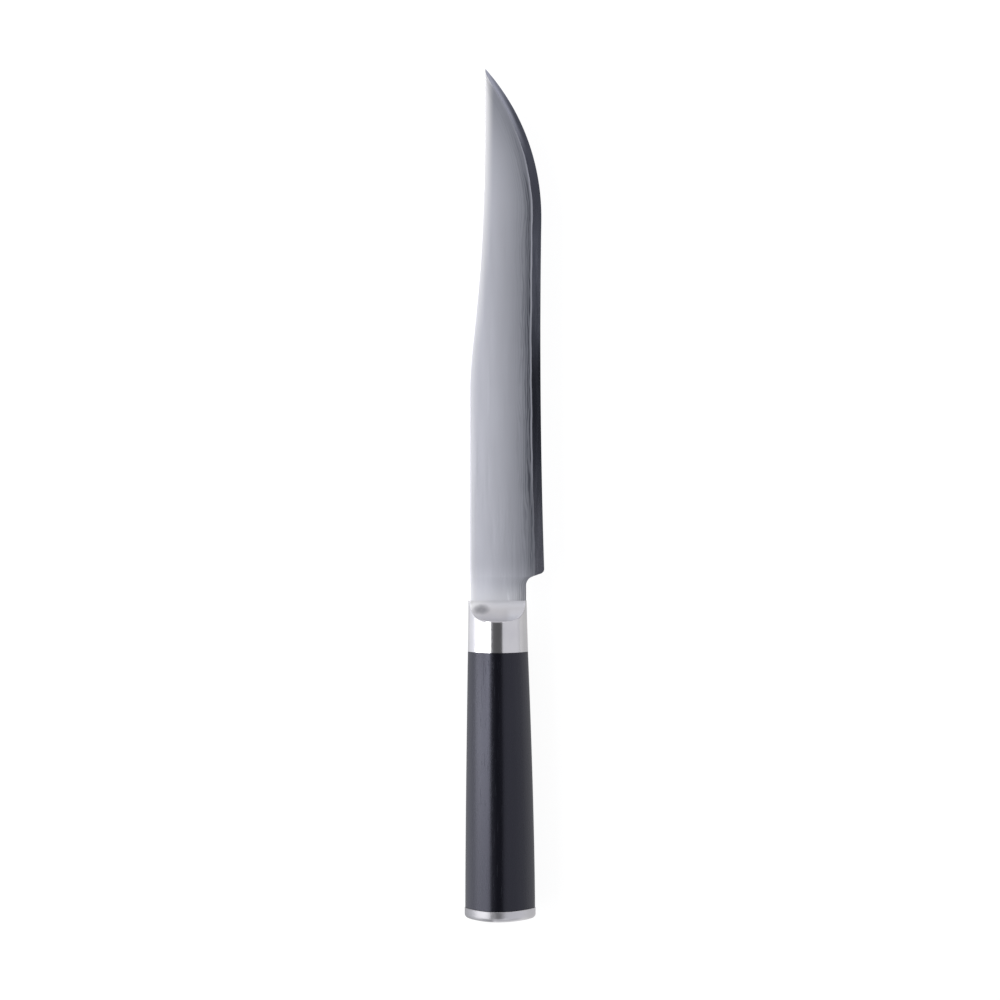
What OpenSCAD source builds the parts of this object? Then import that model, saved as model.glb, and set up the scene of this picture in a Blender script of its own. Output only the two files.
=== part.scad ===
// Carving knife lying on its left side, right-hand face up.
// Built around the ridge line of the handle (x = 0) and the front of the bolster (y = 0), with +Y towards
// the tip, +X towards the cutting edge and z = 0 in the middle of the blade. The finished knife is then
// moved so that its origin is under the middle of its box, on the surface that it lies on.

/* [Blade] */
// Length of the blade, from the front of the bolster to the tip
blade_length = 203; // [150:1:260]
// Width of the blade at its narrowest, between heel and belly
blade_width = 27.1; // [24:0.1:34]
// How much the edge stands out at the heel beyond the narrowest width
heel_drop = 1.5; // [0:0.05:2]
// Distance from the bolster to the narrowest width
waist_distance = 101; // [80:1:120]
// Distance from the bolster to the start of the curved belly
belly_distance = 145; // [125:1:148]
// How far the spine drops towards the edge in the front half
point_drop = 6.1; // [2:0.1:8]
// Distance from the bolster to the start of that drop
drop_distance = 82; // [60:1:95]
// Length over which the spine does most of its dropping
drop_length = 43; // [30:1:60]
// Thickness of the spine at the bolster
spine_thickness = 2.05; // [1.8:0.05:2.6]
// Thickness of the spine near the tip, before the point itself
tip_thickness = 1.15; // [0.9:0.05:1.7]
// Swelling of each ground face above a flat
face_crown = 0.18; // [0:0.01:0.2]

/* [Layers and edge] */
// Thickness of the hard core layer
core_thickness = 0.62; // [0.4:0.02:0.8]
// Thickness of the very edge
edge_thickness = 0.06; // [0.04:0.01:0.12]
// Width of the bare core along the edge
strip_width = 3.4; // [2:0.1:5]
// Width at which the narrowing point has half its thickness
point_fade = 3; // [1.5:0.1:5]
// Width left at the very tip
tip_land = 0.1; // [0.05:0.01:0.2]

/* [Heel] */
// Distance from the spine to the underside of the neck
neck_width = 21.6; // [19:0.1:22]
// Length of the neck before it turns out to the heel
neck_length = 8.3; // [6:0.1:12]
// Angle of the heel's underside from square
heel_angle = 19.5; // [5:0.5:30]
// Radius where the neck turns out to the heel
neck_radius = 3.6; // [1:0.1:4.5]
// Radius of the heel's corner
heel_radius = 1.8; // [0.5:0.1:2.4]

/* [Bolster] */
// Length of the bolster
bolster_length = 19.5; // [15:0.5:30]
// Half-width of the bolster's front on the spine side
bolster_back = 11.25; // [10.5:0.05:12]
// How far the bolster stands out behind the spine
spine_step = 0.4; // [0.2:0.05:1]
// Half-width of the bolster's front on the edge side
bolster_belly = 10.95; // [10.5:0.05:12]
// Height of the ridge above the blade's middle at the bolster's front
bolster_ridge = 8.1; // [7:0.1:8.6]
// Depth of the rounded underside at the bolster's front
bolster_depth = 7.7; // [6.5:0.1:8.4]
// Radius of the hollow that runs down from the ridge to the blade
scoop_radius = 7.7; // [7.2:0.1:9]
// Metal left on each side of the spine at the bolster's front
scoop_wall = 0.1; // [0.08:0.02:0.4]

/* [Handle and cap] */
// Length of the wooden grip
handle_length = 97.7; // [80:0.5:130]
// Half-width of the grip's front on the spine side
grip_back = 11.5; // [10.8:0.05:12.5]
// Half-width of the grip's front on the edge side
grip_belly = 11.5; // [10.8:0.05:12.5]
// Height of the ridge at the grip's front
grip_ridge = 8.6; // [7.5:0.1:10]
// Depth of the underside at the grip's front
grip_depth = 8.1; // [7:0.1:9.5]
// Half-width of the grip's end on the spine side
butt_back = 12.5; // [11:0.05:14]
// Half-width of the grip's end on the edge side
butt_belly = 14.2; // [11:0.05:16]
// Height of the ridge at the grip's end
butt_ridge = 10.3; // [8.5:0.1:12]
// Depth of the underside at the grip's end
butt_depth = 9.3; // [8:0.1:11]
// How soon the grip reaches its full width, 1 being a straight flare
flare = 1.5; // [1:0.1:2.5]
// Width of the flat along the underside, on which the knife lies
under_flat = 5; // [3:0.5:8]
// Thickness of the end cap
cap_thickness = 4.1; // [3:0.1:6]
// How far the end cap stands out round the grip
cap_lip = 0.2; // [0:0.05:0.5]
// Radius of the end cap's rim
cap_rim = 1.8; // [0.4:0.1:2.4]

/* [Tang] */
// Width of the stub that the layered blade carries into the handle
stub_width = 12; // [9:0.5:13]
// Length of that stub beyond the bolster
stub_reach = 6.5; // [4:0.5:12]
// Width of the tang bar at the stub
bar_front_width = 11.6; // [8:0.2:12]
// Width of the tang bar at the end cap
bar_rear_width = 9.6; // [6:0.2:11]
// Thickness of the tang bar
bar_thickness = 3.2; // [2.2:0.1:3.6]
// Length of the weld that joins stub and bar
weld_length = 3; // [2:0.5:5]
// How far the weld stands out round the bar
weld_height = 0.5; // [0.3:0.1:0.6]
// Depth of the pocket in the end cap that takes the bar
pocket_depth = 1.8; // [1.2:0.1:2.4]
// Gap for the weld round the bar in that pocket
pocket_gap = 0.9; // [0.6:0.1:1.2]
// Thickness of the bedding round the widest part of the tang
bedding_gap = 0.6; // [0.5:0.05:1]

/* [Fits] */
// Clearance between parts that slide together before they are joined
slip = 0.05; // [0.02:0.01:0.1]

/* [Hidden] */
$fn = 96;

// Points on a quarter of a handle section, stations along each lofted piece and steps across a blade face
quarter_points = 18;
blade_stations = 56;
face_steps = 8;
grip_stations = 18;
bolster_stations = 6;
rim_steps = 5;

// How blunt the ridge of the section is, 1 being a sharp corner and 2 a rounded top
ridge_power = 1.8;
// How full the flanks below it are, 1 being a parabola and 2 an ellipse
flank_power = 1.25;
// How full the underside is beside its flat, 2 being an ellipse
under_power = 2.3;
// Shape of the spine's drop, 1 starting at once and 2 starting gently
drop_power = 1.5;
// Crowding of the blade's stations towards the tip
station_crowding = 1.5;
// Room that a cutting shape has beyond what it cuts
over = 1;

spine_x = spine_step - bolster_back;
waist_x = spine_x + blade_width;
heel_span = waist_distance - (neck_length + heel_radius);
stub_back = bolster_length + stub_reach;
seam_y = -bolster_length - handle_length;
butt_y = seam_y - cap_thickness;
cap_back = butt_back + cap_lip;
cap_belly = butt_belly + cap_lip;
cap_ridge = butt_ridge + cap_lip;
cap_depth = butt_depth + cap_lip;
neck_x = spine_x + neck_width;

// Outline of the blade. The belly is an arc whose radius brings the edge to the spine at the tip.
function spine_at(y) =
    spine_x + point_drop * (1 - exp(-pow(max(y - drop_distance, 0) / drop_length, drop_power)));
function bowed_edge_at(y) = waist_x + heel_drop * pow((y - waist_distance) / heel_span, 2);
tip_y = blade_length + tip_land;
belly_run = tip_y - belly_distance;
belly_rise = bowed_edge_at(tip_y) - spine_at(tip_y);
belly_radius = (belly_run * belly_run + belly_rise * belly_rise) / (2 * belly_rise);
function belly_at(y) = belly_radius - sqrt(pow(belly_radius, 2) - pow(max(y - belly_distance, 0), 2));
function edge_at(y) = bowed_edge_at(y) - belly_at(y);
function width_at(y) = edge_at(y) - spine_at(y);
heel_y = neck_length + tan(heel_angle) * (edge_at(neck_length) - neck_x);

// Every thickness and the bare strip shrink together as the blade narrows to its point.
function faded(width) = width / (width + point_fade);
function fade_at(y) = faded(width_at(y)) / faded(blade_width);
function strip_at(y) = strip_width * fade_at(y);
function strip_x(y) = edge_at(y) - strip_at(y);
function core_half(y) = fade_at(y) * core_thickness / 2;
function edge_half(y) = fade_at(y) * edge_thickness / 2;
function spine_half(y) =
    fade_at(y) * (spine_thickness + (tip_thickness - spine_thickness) * max(y, 0) / blade_length) / 2;

// Half the blade's thickness, at a share of the way from the bare strip up to the spine
function face_half(y, share) =
    core_half(y) + (spine_half(y) - core_half(y)) * share
    + 4 * face_crown * fade_at(y) * share * (1 - share);
function face_x(y, share) = strip_x(y) + (spine_at(y) - strip_x(y)) * share;
function share_at(y, x) = (strip_x(y) - x) / (strip_x(y) - spine_at(y));

function station(i) =
    blade_length - (blade_length + stub_back) * pow(1 - i / blade_stations, station_crowding);
stations = [for (i = [0 : blade_stations]) station(i)];

// Ridged section of bolster, grip and cap: a peaked right-hand side over a rounded underside with a flat
function ridged(back, belly, ridge, depth) = concat(
    [
        for (i = [0 : 2 * quarter_points])
            let (a = 90 * i / quarter_points, across = a < 90 ? belly : -back)
                [pow(abs(cos(a)), 2 / ridge_power) * across, ridge * pow(sin(a), 2 / flank_power)]
    ],
    [for (i = [1 : quarter_points]) under_point(-1, back, depth, 90 * i / quarter_points)],
    [for (i = [quarter_points : -1 : 1]) under_point(1, belly, depth, 90 * i / quarter_points)]
);
function under_point(side, across, depth, a) = [
    side * (under_flat / 2 + (across - under_flat / 2) * pow(cos(a), 2 / under_power)),
    -depth * pow(sin(a), 2 / under_power),
];
function blend(a, b, t) = a + (b - a) * t;
function flared(t) = 1 - pow(1 - t, flare);

// Corner rounding worked out from the corner and the unit directions of its two sides
function unit(v) = v / norm(v);
function half_angle(a, b) = acos(a * b) / 2;
function corner_centre(v, a, b, r) = v + unit(a + b) * r / sin(half_angle(a, b));
function corner_reach(a, b, r) = r / tan(half_angle(a, b));

// Solid through sections that all have the same number of points, each listed anticlockwise when seen
// from the butt, with the section nearest the butt first
module loft(sections) {
    n = len(sections[0]);
    m = len(sections);
    polyhedron(
        points = [for (section = sections) each section],
        faces = [
            [for (j = [0 : n - 1]) n - 1 - j],
            [for (j = [0 : n - 1]) (m - 1) * n + j],
            for (i = [0 : m - 2], j = [0 : n - 1])
                let (a = i * n + j, b = i * n + (j + 1) % n)
                    each [[a, b, b + n], [a, b + n, a + n]],
        ],
        convexity = 4
    );
}

function placed(section, y) = [for (p = section) [p.x, y, p.y]];

// Moves the knife from the front of its bolster to the middle of its box
module set_down() {
    translate([
        (cap_back - max(cap_belly, edge_at(heel_y + heel_radius))) / 2,
        -(blade_length + butt_y) / 2,
        cap_depth,
    ])
        children();
}

module corner_kite(v, a, b, r) {
    t = corner_reach(a, b, r);
    polygon([v, v + a * t, corner_centre(v, a, b, r), v + b * t]);
}

// What is cut away below the neck and behind the heel
module heel_relief_outline() {
    out = [cos(heel_angle), sin(heel_angle)];
    neck_corner = [neck_x, neck_length];
    far = 3 * stub_width;
    heel_corner = [edge_at(heel_y), heel_y];
    forward = unit([edge_at(heel_y + 1) - edge_at(heel_y), 1]);
    difference() {
        polygon([
            neck_corner,
            [neck_x, -stub_back - over],
            [far, -stub_back - over],
            neck_corner + out * far,
        ]);
        corner_kite(neck_corner, [0, -1], out, neck_radius);
    }
    translate(corner_centre(neck_corner, [0, -1], out, neck_radius)) circle(neck_radius);
    difference() {
        corner_kite(heel_corner, -out, forward, heel_radius);
        translate(corner_centre(heel_corner, -out, forward, heel_radius)) circle(heel_radius);
    }
}

// Outline of everything that is cut from a lofted layer to leave the heel, the neck and the stub
module layer_relief() {
    tall = 2 * spine_thickness;
    translate([0, 0, -tall / 2]) linear_extrude(tall) {
        heel_relief_outline();
        for (side = [-1, 1])
            translate([side > 0 ? stub_width / 2 : -3 * stub_width / 2, -stub_back - over])
                square([stub_width, stub_back + over]);
    }
}

module blade_core() {
    set_down() color("dimgray") difference() {
        loft([
            for (y = stations) placed([
                [spine_at(y), -core_half(y)],
                [strip_x(y), -core_half(y)],
                [edge_at(y), -edge_half(y)],
                [edge_at(y), edge_half(y)],
                [strip_x(y), core_half(y)],
                [spine_at(y), core_half(y)],
            ], y)
        ]);
        layer_relief();
    }
}

// One stack of forge-welded outer layers, feathered out where the core comes bare
module cladding() {
    difference() {
        loft([
            for (y = stations) placed([
                [spine_at(y), core_half(y)],
                for (k = [0 : face_steps])
                    [face_x(y, k / face_steps), face_half(y, k / face_steps)],
            ], y)
        ]);
        layer_relief();
    }
}

module cladding_right() {
    set_down() color("silver") cladding();
}

module cladding_left() {
    set_down() color("silver") mirror([0, 0, 1]) cladding();
}

// Straight block round the layered stub, wedge-shaped like the blade itself
module stub_space(gap, front, back) {
    left = -stub_width / 2;
    right = stub_width / 2;
    thick_left = face_half(back, share_at(back, left)) + gap;
    thick_right = face_half(back, share_at(back, right)) + gap;
    translate([0, front, 0]) rotate([90, 0, 0]) linear_extrude(front - back) polygon([
        [left - gap, -thick_left],
        [right + gap, -thick_right],
        [right + gap, thick_right],
        [left - gap, thick_left],
    ]);
}

module scoop(side) {
    translate([0, 0, side * (spine_thickness / 2 + scoop_wall + scoop_radius)])
        rotate([0, 90, 0])
        cylinder(h = 4 * bolster_back, r = scoop_radius, center = true);
}

module bolster() {
    set_down() color("gainsboro") difference() {
        loft([
            for (i = [0 : bolster_stations])
                let (t = 1 - i / bolster_stations)
                    placed(ridged(
                        blend(bolster_back, grip_back, t),
                        blend(bolster_belly, grip_belly, t),
                        blend(bolster_ridge, grip_ridge, t),
                        blend(bolster_depth, grip_depth, t)
                    ), -bolster_length * t)
        ]);
        scoop(1);
        scoop(-1);
        stub_space(slip, over, -bolster_length - over);
    }
}

function grip_section(t) = ridged(
    blend(grip_back, butt_back, flared(t)),
    blend(grip_belly, butt_belly, flared(t)),
    blend(grip_ridge, butt_ridge, flared(t)),
    blend(grip_depth, butt_depth, flared(t))
);

slot_width = max(stub_width, bar_front_width + 2 * weld_height) + 2 * bedding_gap;
slot_height = bar_thickness + 2 * (weld_height + bedding_gap);

module tang_slot() {
    translate([-slot_width / 2, seam_y, -slot_height / 2])
        cube([slot_width, handle_length, slot_height]);
}

module handle() {
    set_down() color("#232327") difference() {
        loft([
            for (i = [0 : grip_stations])
                let (t = 1 - i / grip_stations)
                    placed(grip_section(t), -bolster_length - handle_length * t)
        ]);
        translate([0, -over, 0]) tang_slot();
        tang_slot();
        translate([0, over, 0]) tang_slot();
    }
}

bar_front = -stub_back;
bar_back = seam_y - pocket_depth;
function bar_half(y) = blend(bar_front_width, bar_rear_width, (bar_front - y) / (bar_front - bar_back)) / 2;

// The tapered bar between two stations
module bar_block(front, back) {
    translate([0, 0, -bar_thickness / 2]) linear_extrude(bar_thickness) polygon([
        [-bar_half(front), front],
        [-bar_half(back), back],
        [bar_half(back), back],
        [bar_half(front), front],
    ]);
}

// The same bar as a cutter, run on at both ends so that no skin is left
module bar_space() {
    bar_block(bar_front + slip, bar_back - over);
}

module tang_bar() {
    set_down() color("slategray") bar_block(bar_front, bar_back);
}

module weld_block() {
    wide = max(stub_width, bar_front_width + 2 * weld_height);
    high = bar_thickness + 2 * weld_height;
    translate([-wide / 2, -stub_back - weld_length / 2, -high / 2]) cube([wide, weld_length, high]);
}

module tang_weld() {
    set_down() color("darkgray") difference() {
        weld_block();
        bar_space();
        stub_space(slip, over, -stub_back);
    }
}

module tang_bedding() {
    set_down() color("darkslategray") difference() {
        tang_slot();
        weld_block();
        bar_space();
        stub_space(slip, over, -stub_back);
    }
}

module pocket(depth) {
    wide = bar_rear_width + 2 * pocket_gap;
    high = bar_thickness + 2 * pocket_gap;
    translate([-wide / 2, seam_y - depth, -high / 2]) cube([wide, depth, high]);
}

// Flat at the butt, with a rim that turns in along a quarter circle
module end_cap() {
    rim_y = butt_y + cap_rim;
    set_down() color("gainsboro") difference() {
        loft(concat(
            [
                for (i = [0 : rim_steps])
                    let (a = 90 * (1 - i / rim_steps), inset = cap_rim * (1 - cos(a)))
                        placed(ridged(
                            cap_back - inset, cap_belly - inset, cap_ridge - inset, cap_depth - inset
                        ), rim_y - cap_rim * sin(a))
            ],
            [placed(ridged(cap_back, cap_belly, cap_ridge, cap_depth), seam_y)]
        ));
        pocket(pocket_depth);
    }
}

module cap_weld() {
    set_down() color("darkgray") difference() {
        pocket(pocket_depth);
        bar_space();
    }
}

blade_core();
cladding_right();
cladding_left();
bolster();
tang_bar();
tang_weld();
tang_bedding();
handle();
end_cap();
cap_weld();
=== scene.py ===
"""Looks of a carving knife: smooth meshes, finishes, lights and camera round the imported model."""

import logging
import math
from dataclasses import dataclass
from enum import Enum
from typing import Callable, Iterable, Sequence

import bmesh
import bpy
from mathutils import Matrix, Vector


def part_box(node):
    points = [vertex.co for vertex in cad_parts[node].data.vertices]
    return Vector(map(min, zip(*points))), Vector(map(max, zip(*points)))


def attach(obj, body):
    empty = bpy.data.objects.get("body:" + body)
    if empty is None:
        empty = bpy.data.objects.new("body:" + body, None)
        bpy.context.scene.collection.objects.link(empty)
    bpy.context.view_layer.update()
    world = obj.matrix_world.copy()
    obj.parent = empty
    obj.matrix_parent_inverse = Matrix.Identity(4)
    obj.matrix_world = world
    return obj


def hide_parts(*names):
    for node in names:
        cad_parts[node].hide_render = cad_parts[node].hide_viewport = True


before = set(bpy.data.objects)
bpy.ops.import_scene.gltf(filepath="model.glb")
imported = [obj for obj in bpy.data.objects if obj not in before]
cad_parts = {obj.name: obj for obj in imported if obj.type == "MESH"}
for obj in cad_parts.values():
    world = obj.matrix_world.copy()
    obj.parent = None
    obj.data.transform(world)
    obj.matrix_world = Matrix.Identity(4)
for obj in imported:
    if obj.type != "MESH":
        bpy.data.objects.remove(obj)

MM = 0.001
MERGE = 0.002 * MM
SHARP_ANGLE = math.radians(28.0)
SMOOTH = {"interpolation_type": "SMOOTHSTEP"}
log = logging.getLogger("knife")

Point = tuple[float, float, float]
Ring = list[Point]
Colour = tuple[float, float, float]
Pair = tuple[float, float]
Step = tuple[float, float, float]
Pieces = list[bpy.types.Object]


class Side(Enum):
    """The two faces of the knife, by the sign of z."""

    RIGHT = 1
    LEFT = -1


class Layer(Enum):
    """The layers of a mesh that hold the piece's own coordinates."""

    ALONG_ACROSS = "along_across"
    ASIDE = "aside"


def blend(a: float, b: float, t: float) -> float:
    """Value a share t of the way from a to b."""
    return a + (b - a) * t


def spread(low: float, high: float, count: int) -> list[float]:
    """Evenly spaced values from low to high, both included."""
    return [blend(low, high, i / (count - 1)) for i in range(count)]


class Value:
    """A socket's value in a shader, with the usual operators."""

    def __init__(self, tree: "Finish", socket: bpy.types.NodeSocket) -> None:
        """Wraps a socket of a finish's node tree."""
        self.tree = tree
        self.socket = socket

    def math(self, operation: str, *others: "Value | float") -> "Value":
        """Result of a Math node on this value and others."""
        return self.tree.math(operation, self, *others)

    def __add__(self, other: "Value | float") -> "Value":
        """Sum."""
        return self.math("ADD", other)

    def __radd__(self, other: float) -> "Value":
        """Sum with the number on the left."""
        return self.math("ADD", other)

    def __sub__(self, other: "Value | float") -> "Value":
        """Difference."""
        return self.math("SUBTRACT", other)

    def __rsub__(self, other: float) -> "Value":
        """Difference with the number on the left."""
        return self.tree.math("SUBTRACT", other, self)

    def __mul__(self, other: "Value | float") -> "Value":
        """Product."""
        return self.math("MULTIPLY", other)

    def __rmul__(self, other: float) -> "Value":
        """Product with the number on the left."""
        return self.math("MULTIPLY", other)

    def __truediv__(self, other: "Value | float") -> "Value":
        """Quotient."""
        return self.math("DIVIDE", other)

    def __rtruediv__(self, other: float) -> "Value":
        """Quotient with the number on the left."""
        return self.tree.math("DIVIDE", other, self)

    def __pow__(self, other: "Value | float") -> "Value":
        """Power."""
        return self.math("POWER", other)

    def ramp(self, low: float, high: float) -> "Value":
        """Smooth step from 0 at low to 1 at high."""
        inputs = {"Value": self, "From Min": low, "From Max": high}
        return self.tree.output("ShaderNodeMapRange", "Result", SMOOTH, inputs)

    def fall(self, low: float, high: float) -> "Value":
        """Smooth step from 1 at low to 0 at high."""
        return 1.0 - self.ramp(low, high)

    def between(self, low: float, high: float) -> "Value":
        """Value that goes from low to high while this one goes from 0 to 1."""
        return self * (high - low) + low

    def around(self, middle: float, reach: float) -> "Value":
        """Value that spans a reach either side of the middle while this one goes from 0 to 1."""
        return self.between(middle - reach, middle + reach)

    def steps(self, start: float, steps: Sequence[Step]) -> "Value":
        """Level that changes by smooth steps, each with its low end, high end and rise."""
        return sum((self.ramp(low, high) * rise for low, high, rise in steps), start)


class Finish:
    """A material under construction, with one shader and the nodes that feed it."""

    def __init__(self, name: str, base: Colour, **constants: float | Colour) -> None:
        """Makes the material and sets the shader's own sockets.

        Args:
            name: the material's name.
            base: colour where nothing else sets it.
            constants: values of the shader's sockets, by their names in lower case.
        """
        self.material = bpy.data.materials.new(name)
        self.material.use_nodes = True
        self.nodes = self.material.node_tree.nodes
        self.links = self.material.node_tree.links
        self.shader = next(n for n in self.nodes if n.type == "BSDF_PRINCIPLED")
        self.shader.inputs["Base Color"].default_value = (*base, 1.0)
        for key, given in constants.items():
            socket = self.shader.inputs[key.replace("_", " ").title()]
            socket.default_value = given if isinstance(given, float) else (*given, 1.0)

    def node(
        self, kind: str, settings: dict | None = None, inputs: dict | None = None
    ) -> bpy.types.Node:
        """Adds a node of any type.

        Args:
            kind: the node's type.
            settings: attributes of the node, set first.
            inputs: values or links of its sockets, by name or number.
        Returns:
            The new node.
        """
        made = self.nodes.new(kind)
        for key, setting in (settings or {}).items():
            setattr(made, key, setting)
        for key, given in (inputs or {}).items():
            socket = made.inputs[key]
            if isinstance(given, Value):
                self.links.new(given.socket, socket)
            else:
                socket.default_value = given
        return made

    def output(
        self, kind: str, name: str, settings: dict | None = None, inputs: dict | None = None
    ) -> Value:
        """Adds a node and gives the output of that name."""
        return Value(self, self.node(kind, settings, inputs).outputs[name])

    def math(self, operation: str, *values: Value | float) -> Value:
        """Result of a Math node."""
        inputs = dict(enumerate(values))
        return self.output("ShaderNodeMath", "Value", {"operation": operation}, inputs)

    def mix(self, share: Value | float, first: Value | Colour, second: Value | Colour) -> Value:
        """Colour between two others.

        Args:
            share: share of the way from the first to the second.
            first: colour at share 0.
            second: colour at share 1.
        Returns:
            The colour.
        """
        factor, colour_a, colour_b, colour_out = 0, 6, 7, 2
        inputs = {factor: share}
        for index, given in ((colour_a, first), (colour_b, second)):
            inputs[index] = given if isinstance(given, Value) else (*given, 1.0)
        made = self.node("ShaderNodeMix", {"data_type": "RGBA"}, inputs)
        return Value(self, made.outputs[colour_out])

    def vector_math(self, operation: str, inputs: dict) -> Value:
        """Result of a Vector Math node."""
        return self.output("ShaderNodeVectorMath", "Vector", {"operation": operation}, inputs)

    def scaled(self, colour: Value, by: Value | float) -> Value:
        """Colour made lighter or darker."""
        return self.vector_math("SCALE", {0: colour, "Scale": by})

    def position(self, stretch: Point = (1.0, 1.0, 1.0)) -> Value:
        """Place on the object in metres, each axis multiplied."""
        place = self.output("ShaderNodeTexCoord", "Object")
        return self.vector_math("MULTIPLY", {0: place, 1: stretch})

    def vector(self, x: Value | float, y: Value | float) -> Value:
        """Vector with the given parts and 0."""
        return self.output("ShaderNodeCombineXYZ", "Vector", None, {"X": x, "Y": y})

    def noise(self, vector: Value, scale: float = 1.0, detail: float = 2.0) -> Value:
        """Soft noise from 0 to 1 over a vector."""
        inputs = {"Vector": vector, "Scale": scale, "Detail": detail}
        return self.output("ShaderNodeTexNoise", "Fac", None, inputs)

    def parts(self, vector: Value) -> tuple[Value, Value]:
        """First two parts of a vector."""
        outputs = self.node("ShaderNodeSeparateXYZ", None, {"Vector": vector}).outputs
        return Value(self, outputs["X"]), Value(self, outputs["Y"])

    def surface(self, layer: Layer) -> tuple[Value, Value]:
        """The two coordinates in one of the piece's layers."""
        return self.parts(self.output("ShaderNodeUVMap", "UV", {"uv_map": layer.value}))

    def feed(self, name: str, value: Value) -> None:
        """Links a value to one of the shader's sockets."""
        self.links.new(value.socket, self.shader.inputs[name])

    def bump(self, height: Value, distance: float) -> None:
        """Feeds the shader's normal from a height times a distance in metres."""
        inputs = {"Height": height, "Distance": distance}
        self.feed("Normal", self.output("ShaderNodeBump", "Normal", None, inputs))


@dataclass(frozen=True)
class LayeredSteel:
    """Satin cladding with darker drawn-out layers beside the bare core. Its tone runs from light by
    the spine to dark by the edge, partly darker etched steel and partly painted shade; the joint
    and the spine carry painted highlights.

    Spans are in mm along the blade from the bolster, widths in mm from the bare core or, for the
    painted highlight along the spine, from the spine.
    """

    # Tone across the face, spine_tone to edge_tone: partly darker etched steel towards the edge,
    # partly painted shade of the face turning away from the light.
    spine_tone: Colour = (0.87, 0.88, 0.945)
    edge_tone: Colour = (0.35, 0.36, 0.4)
    tone_across: Pair = (-2.0, 24.0)
    gain: float = 1.05
    dimming: float = 0.13
    dimmed_span: Pair = (60.0, 140.0)

    # Painted highlight: the cladding is made lighter and whiter near the bolster, where the flatter
    # face catches more light.
    joint_highlight_tone: Colour = (0.98, 0.98, 0.985)
    joint_length: float = 7.0
    joint_highlight_share: float = 0.25
    joint_shade_gain: float = 1.5
    near_length: float = 16.0
    near_highlight_share: float = 0.2
    near_highlight_gain: float = 0.08
    near_roughness: float = 0.07

    # Painted highlight along the rounded spine.
    spine_highlight_tone: Colour = (0.985, 0.975, 0.97)
    spine_highlight_width: float = 3.6
    spine_highlight_span: Pair = (90.0, 175.0)
    spine_highlight_shares: Pair = (0.45, 0.9)

    dark_layer: Colour = (0.09, 0.095, 0.115)
    layered_across: Pair = (0.75, 10.0)
    layered_share: float = 0.5
    band_across: Pair = (0.75, 4.5)
    band_share: float = 0.5
    start_span: Pair = (5.0, 50.0)
    start_share: float = 0.6
    end_span: Pair = (150.0, 192.0)
    end_share: float = 0.15
    wander_grain: Pair = (0.035, 0.3)
    strand_grain: Pair = (0.05, 1.5)
    strand_sway: float = 7.0
    wave_grain: float = 1.1
    wave_sway: float = 5.0
    wave_share: float = 0.25
    layer_step: Pair = (0.35, 0.85)

    line_tone: Colour = (0.46, 0.47, 0.52)
    line_across: Pair = (0.45, 0.75)
    line_span: Pair = (26.0, 58.0)
    line_shares: Pair = (0.15, 1.0)

    roughness: float = 0.46
    scratches: Point = (2600.0, 40.0, 2600.0)
    scratch_roughness: float = 0.06
    scratch_depth: float = 0.5
    layer_depth: float = 2.0
    relief: float = 0.000003

    def layers(self, steel: Finish, along: Value, across: Value) -> Value:
        """Pattern of the layers.

        Args:
            steel: the material under construction.
            along: distance along the blade.
            across: distance from the bare core.
        Returns:
            The pattern, about 0 in the lightest layers and 1 in the darkest.
        """
        spots = steel.vector(along * self.wander_grain[0], across * self.wander_grain[1])
        wander = steel.noise(spots, detail=3.0)
        swayed = across * self.strand_grain[1] + wander * self.strand_sway
        strands = steel.noise(steel.vector(along * self.strand_grain[0], swayed), detail=4.0)
        phase = across * self.wave_grain + wander * self.wave_sway
        return (phase * math.tau).math("SINE") * self.wave_share + strands

    def make(self) -> bpy.types.Material:
        """Builds the material.

        Returns:
            The material.
        """
        steel = Finish("layered steel", self.spine_tone, metallic=1.0, roughness=self.roughness)
        along, across = steel.surface(Layer.ALONG_ACROSS)
        from_spine, _ = steel.surface(Layer.ASIDE)
        layers = self.layers(steel, along, across)
        scratch = steel.noise(steel.position(self.scratches))
        near = along.fall(0.0, self.near_length)
        joint = along.fall(0.0, self.joint_length)
        present = along.ramp(*self.end_span).between(1.0, self.end_share)
        present = present * along.ramp(*self.start_span).between(self.start_share, 1.0)

        # Tone from the edge to the spine: partly darker etched steel, partly painted shade of the
        # crowned face turning from the left light.
        tone = steel.mix(across.ramp(*self.tone_across), self.edge_tone, self.spine_tone)
        dimmed = along.ramp(*self.dimmed_span) * self.dimming
        # Painted highlight: the tone is raised and whitened near the bolster's joint.
        tone = steel.scaled(tone, near * self.near_highlight_gain - dimmed + self.gain)
        joint_highlight = near * self.near_highlight_share + joint * self.joint_highlight_share
        tone = steel.mix(joint_highlight, tone, self.joint_highlight_tone)
        # Painted highlight: a light band along the spine's rounded edge.
        crest = along.ramp(*self.spine_highlight_span).between(*self.spine_highlight_shares)
        crest = from_spine.fall(0.0, self.spine_highlight_width) * crest
        tone = steel.mix(crest, tone, self.spine_highlight_tone)

        layered = across.fall(*self.layered_across) ** 2.0
        # The dark band beside the bare core is the layers' own darker steel; along the neck's edge,
        # where across runs from the neck, it is painted shade.
        band = across.fall(*self.band_across)
        dark = layers.ramp(*self.layer_step) * layered * self.layered_share + band * self.band_share
        # Painted shade: the band and layers are deepened close to the joint, by the neck's edge.
        dark = dark * present * joint.between(1.0, self.joint_shade_gain)
        tone = steel.mix(dark, tone, self.dark_layer)
        line = across.fall(*self.line_across) * present
        line = line * along.ramp(*self.line_span).between(*self.line_shares)
        steel.feed("Base Color", steel.mix(line, tone, self.line_tone))

        rough = near * self.near_roughness + self.roughness
        steel.feed("Roughness", scratch.around(0.0, self.scratch_roughness) + rough)
        height = scratch * self.scratch_depth + layers * layered * self.layer_depth
        steel.bump(height, self.relief)
        return steel.material


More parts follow.
